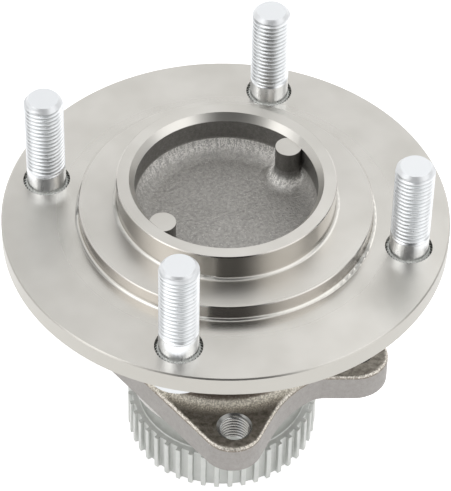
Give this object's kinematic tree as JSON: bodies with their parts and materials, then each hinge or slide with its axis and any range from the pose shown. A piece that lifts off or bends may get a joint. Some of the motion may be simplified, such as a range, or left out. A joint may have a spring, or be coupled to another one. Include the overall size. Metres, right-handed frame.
{
  "type": "wheel hub bearing",
  "caption": "Bolt-on rear wheel hub bearing: round wheel flange with studs and stepped pilot, turning in a lobed mounting ring, with a toothed speed ring at the back.",
  "frame": {"origin": "centre of the wheel face, where the wheel stud circle meets the hub axis", "axes": "+Z along the hub axis out towards the wheel; +X and +Y along the short and long sides of the mounting hole rectangle"},
  "size_m": [0.1374, 0.1374, 0.1284],
  "materials": {
    "turned_steel": "fine turned, satin",
    "zinc_plated_steel": "bright zinc plate",
    "forged_steel": "blasted forging with machined faces",
    "bearing_steel": "ground and polished",
    "cage_plastic": "moulded",
    "pressed_steel": "pressed sheet",
    "seal_rubber": "moulded",
    "ring_steel": "satin",
    "nut_steel": "phosphated"
  },
  "bodies": {
    "carrier": {"outer_ring": "forged_steel", "outboard_seal_case": "pressed_steel", "outboard_seal_lip": "seal_rubber", "inboard_seal_case": "pressed_steel", "inboard_seal_lip": "seal_rubber"},
    "hub": {"wheel_hub": "turned_steel", "wheel_studs": "zinc_plated_steel", "inner_ring": "bearing_steel", "inboard_slinger": "pressed_steel", "tone_ring": "ring_steel", "spindle_nut": "nut_steel"},
    "outboard_row": {"outboard_cage": "cage_plastic", "outboard_ball_01": "bearing_steel", "outboard_ball_02": "bearing_steel", "outboard_ball_03": "bearing_steel", "outboard_ball_04": "bearing_steel", "outboard_ball_05": "bearing_steel", "outboard_ball_06": "bearing_steel", "outboard_ball_07": "bearing_steel", "outboard_ball_08": "bearing_steel", "outboard_ball_09": "bearing_steel", "outboard_ball_10": "bearing_steel", "outboard_ball_11": "bearing_steel", "outboard_ball_12": "bearing_steel"},
    "inboard_row": {"inboard_cage": "cage_plastic", "inboard_ball_01": "bearing_steel", "inboard_ball_02": "bearing_steel", "inboard_ball_03": "bearing_steel", "inboard_ball_04": "bearing_steel", "inboard_ball_05": "bearing_steel", "inboard_ball_06": "bearing_steel", "inboard_ball_07": "bearing_steel", "inboard_ball_08": "bearing_steel", "inboard_ball_09": "bearing_steel", "inboard_ball_10": "bearing_steel", "inboard_ball_11": "bearing_steel", "inboard_ball_12": "bearing_steel"}
  },
  "joints": [
    {"name": "hub_spin", "type": "hinge", "parent": "carrier", "child": "hub", "pos_m": [0, 0, 0], "axis": [0, 0, 1], "continuous": true},
    {"name": "outboard_cage_spin", "type": "hinge", "parent": "carrier", "child": "outboard_row", "pos_m": [0, 0, -0.029], "axis": [0, 0, 1], "continuous": true},
    {"name": "inboard_cage_spin", "type": "hinge", "parent": "carrier", "child": "inboard_row", "pos_m": [0, 0, -0.055], "axis": [0, 0, 1], "continuous": true}
  ],
  "couplings": [
    {"joint": "outboard_cage_spin", "follows": "hub_spin", "ratio": 0.412},
    {"joint": "inboard_cage_spin", "follows": "hub_spin", "ratio": 0.412}
  ]
}
